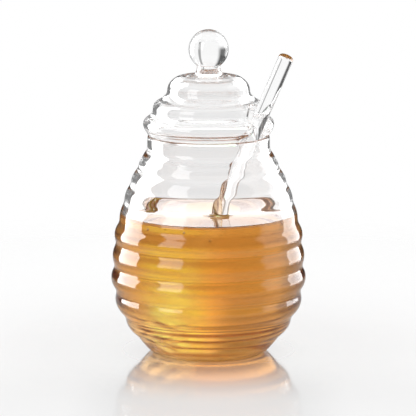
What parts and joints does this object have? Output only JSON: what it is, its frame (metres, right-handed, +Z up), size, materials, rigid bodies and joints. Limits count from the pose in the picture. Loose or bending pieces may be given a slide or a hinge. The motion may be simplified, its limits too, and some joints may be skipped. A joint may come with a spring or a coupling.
{
  "type": "glass honey pot with honey and dipper",
  "caption": "Ribbed clear glass honey pot shaped like a beehive, with a tiered ball-knob lid, a glass dipper leaning out of the lid's notch, and amber honey inside.",
  "frame": {"origin": "on the pot's axis, at the flat base that it rests on", "axes": "+Z up along the pot's axis; the dipper leans out towards +X and -Y; the side most seen faces -Y"},
  "size_m": [0.1054, 0.1054, 0.1755],
  "materials": {
    "pot_glass": "clear blown glass, fire-polished",
    "lid_glass": "clear blown glass, fire-polished",
    "dipper_glass": "clear solid glass, fire-polished",
    "honey": "clear amber honey, glossy surface"
  },
  "bodies": {
    "root": {"pot": "pot_glass", "lid": "lid_glass", "dipper": "dipper_glass", "honey": "honey"}
  },
  "joints": []
}
